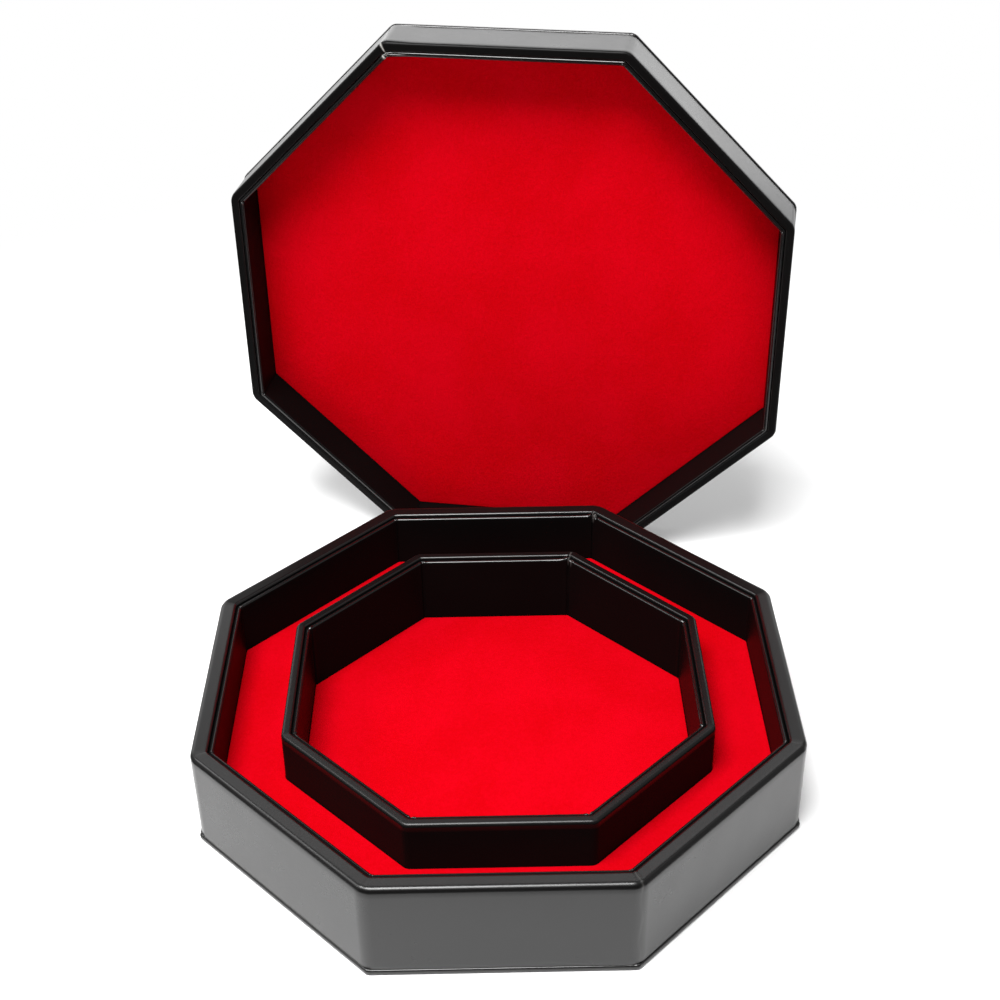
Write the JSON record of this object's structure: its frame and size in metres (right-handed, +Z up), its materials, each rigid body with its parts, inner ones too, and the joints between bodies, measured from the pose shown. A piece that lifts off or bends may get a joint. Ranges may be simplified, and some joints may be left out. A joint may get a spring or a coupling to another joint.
{
  "type": "dice tray",
  "caption": "Octagonal wrapped-board tray with a lower octagonal wall inside it, velvet floors and a lift-off lid that stands on its edge behind it.",
  "frame": {"origin": "centre of the box's underside, on the table it stands on", "axes": "+Z up out of the open box, +Y from the box to the lid standing behind it, +X to the right seen from the front"},
  "size_m": [0.2251, 0.2782, 0.2224],
  "materials": {
    "grey_board": "matt",
    "black_leatherette": "satin",
    "red_velvet": "napped"
  },
  "bodies": {
    "box": {"base_plate_board": "grey_board", "base_plate_wrap": "black_leatherette", "base_wall_right_board": "grey_board", "base_wall_back_right_board": "grey_board", "base_wall_back_board": "grey_board", "base_wall_back_left_board": "grey_board", "base_wall_left_board": "grey_board", "base_wall_front_left_board": "grey_board", "base_wall_front_board": "grey_board", "base_wall_front_right_board": "grey_board", "base_wall_wrap": "black_leatherette", "base_liner_card": "grey_board", "base_liner_wrap": "black_leatherette", "base_floor_board": "grey_board", "trough_outer_riser_board": "grey_board", "trough_inner_riser_board": "grey_board", "trough_board": "grey_board", "trough_velvet": "red_velvet", "ring_wall_right_board": "grey_board", "ring_wall_back_right_board": "grey_board", "ring_wall_back_board": "grey_board", "ring_wall_back_left_board": "grey_board", "ring_wall_left_board": "grey_board", "ring_wall_front_left_board": "grey_board", "ring_wall_front_board": "grey_board", "ring_wall_front_right_board": "grey_board", "ring_wall_wrap": "black_leatherette", "ring_liner_card": "grey_board", "ring_liner_wrap": "black_leatherette", "ring_floor_board": "grey_board", "ring_floor_velvet": "red_velvet"},
    "lid": {"lid_plate_board": "grey_board", "lid_plate_wrap": "black_leatherette", "lid_wall_right_board": "grey_board", "lid_wall_top_right_board": "grey_board", "lid_wall_top_board": "grey_board", "lid_wall_top_left_board": "grey_board", "lid_wall_left_board": "grey_board", "lid_wall_bottom_left_board": "grey_board", "lid_wall_bottom_board": "grey_board", "lid_wall_bottom_right_board": "grey_board", "lid_wall_wrap": "black_leatherette", "lid_liner_card": "grey_board", "lid_liner_wrap": "black_leatherette", "lid_floor_card": "grey_board", "lid_floor_velvet": "red_velvet"}
  },
  "joints": [
    {"name": "lid_lift", "type": "slide", "parent": "box", "child": "lid", "axis": [0, 0, 1], "range_m": [0, 0.12]}
  ]
}
